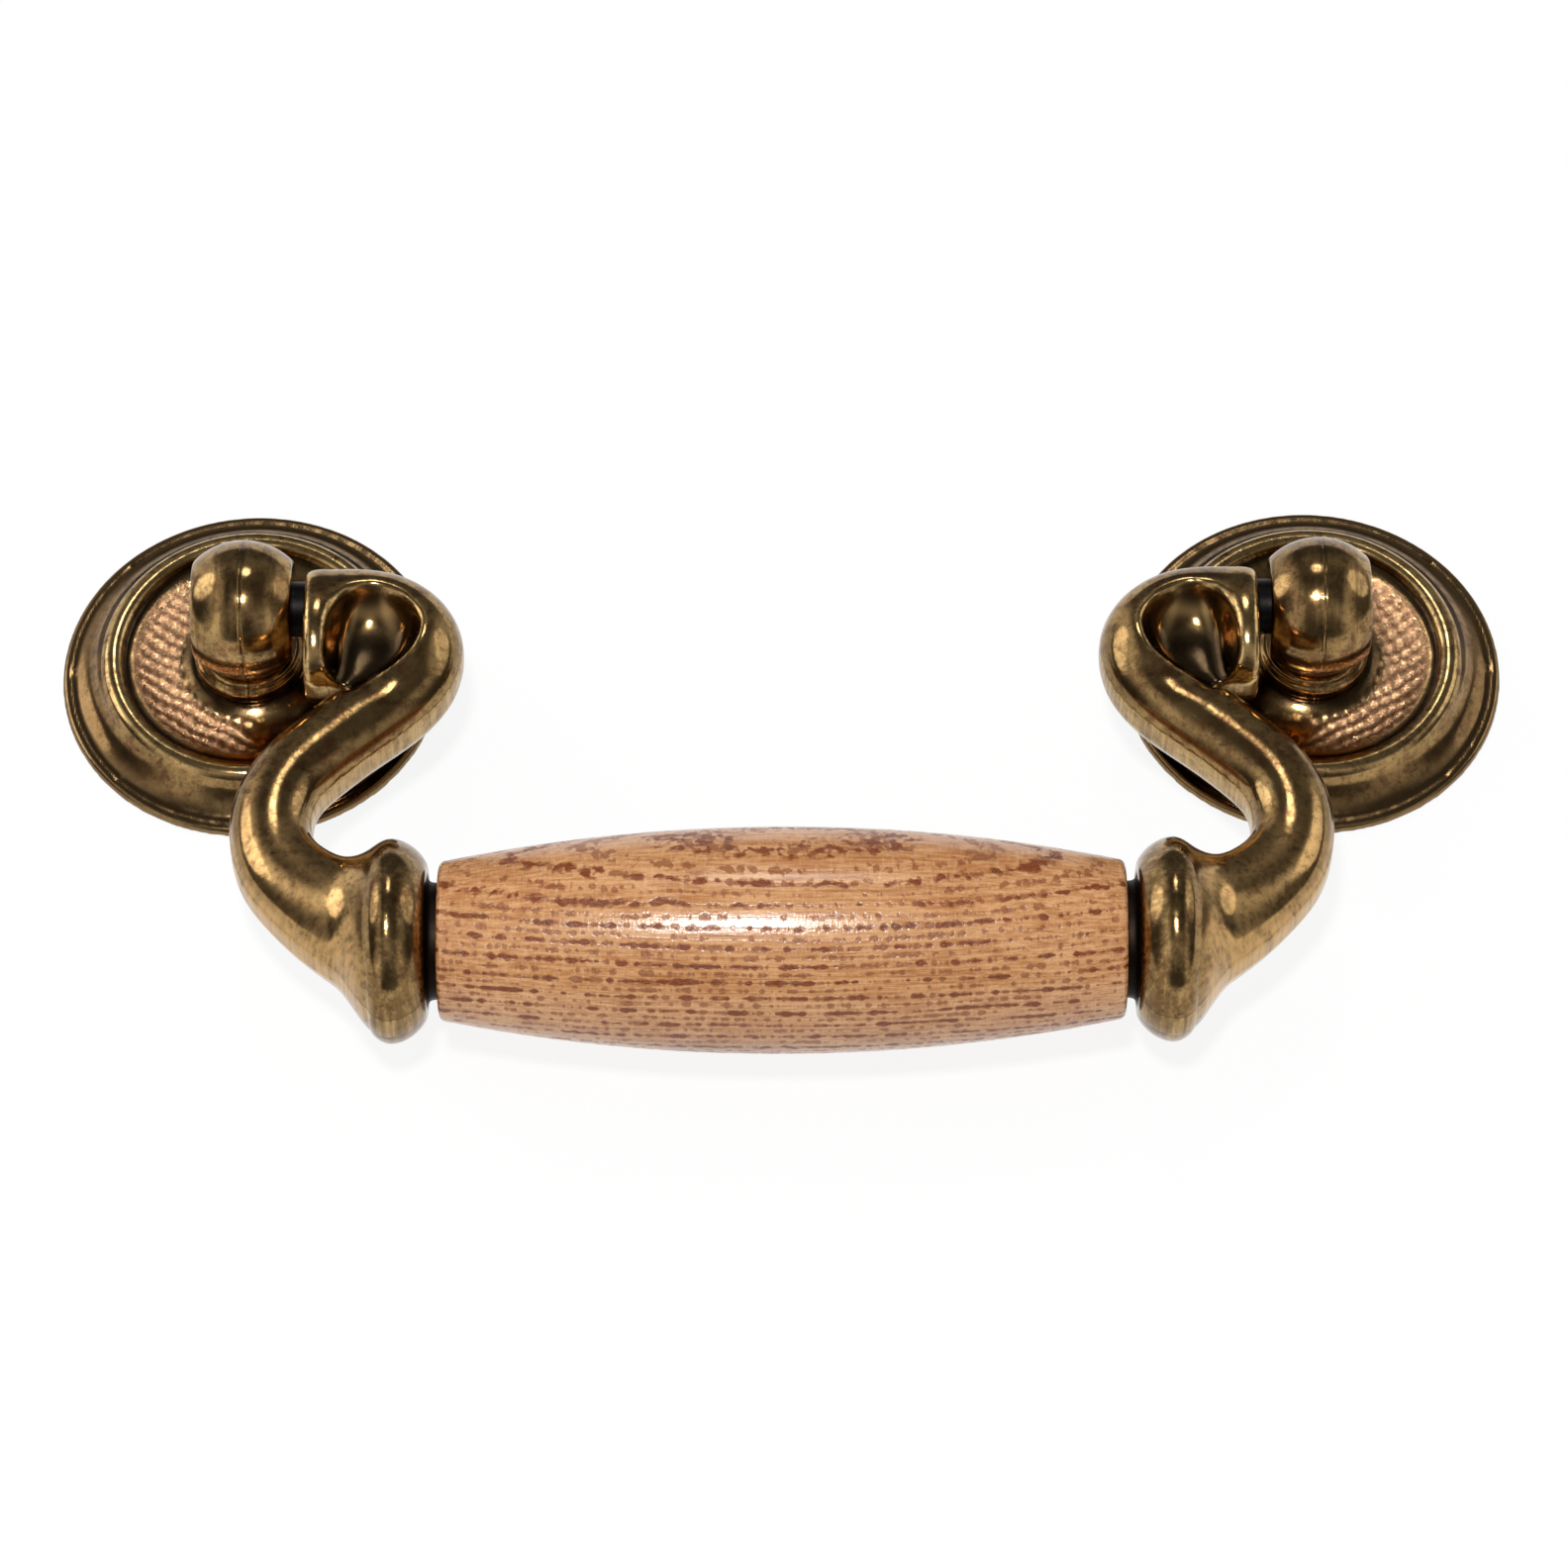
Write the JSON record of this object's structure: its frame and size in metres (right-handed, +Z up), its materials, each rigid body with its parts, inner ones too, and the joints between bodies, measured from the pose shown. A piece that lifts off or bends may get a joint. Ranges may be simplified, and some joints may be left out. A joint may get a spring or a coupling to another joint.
{
  "type": "bail pull",
  "caption": "Drawer bail pull: dished round rosettes with ball posts carry a swinging bail of cast scroll arms, which hold a turned barrel-shaped wood grip",
  "frame": {"origin": "midway between the two screw holes, on the drawer front's plane", "axes": "+X along the pull from the left post to the right post, +Y into the drawer front, +Z up"},
  "size_m": [0.1208, 0.0193, 0.057],
  "materials": {
    "antique_brass": "antiqued, dark in the hollows and rubbed bright on the ridges",
    "dark_steel": "darkened, turned",
    "oak": "clear lacquer over open grain"
  },
  "bodies": {
    "base": {"left_rosette": "antique_brass", "right_rosette": "antique_brass", "left_post": "antique_brass", "right_post": "antique_brass"},
    "bail": {"left_arm": "antique_brass", "right_arm": "antique_brass", "left_pivot_pin": "dark_steel", "right_pivot_pin": "dark_steel", "tie_rod": "dark_steel"},
    "grip": {"wood_grip": "oak"}
  },
  "joints": [
    {"name": "bail_swing", "type": "hinge", "parent": "base", "child": "bail", "pos_m": [0, -0.01025, 0], "axis": [-1, 0, 0], "range_deg": [0, 180]},
    {"name": "grip_spin", "type": "hinge", "parent": "bail", "child": "grip", "pos_m": [0, -0.01025, -0.032], "axis": [1, 0, 0], "continuous": true}
  ]
}
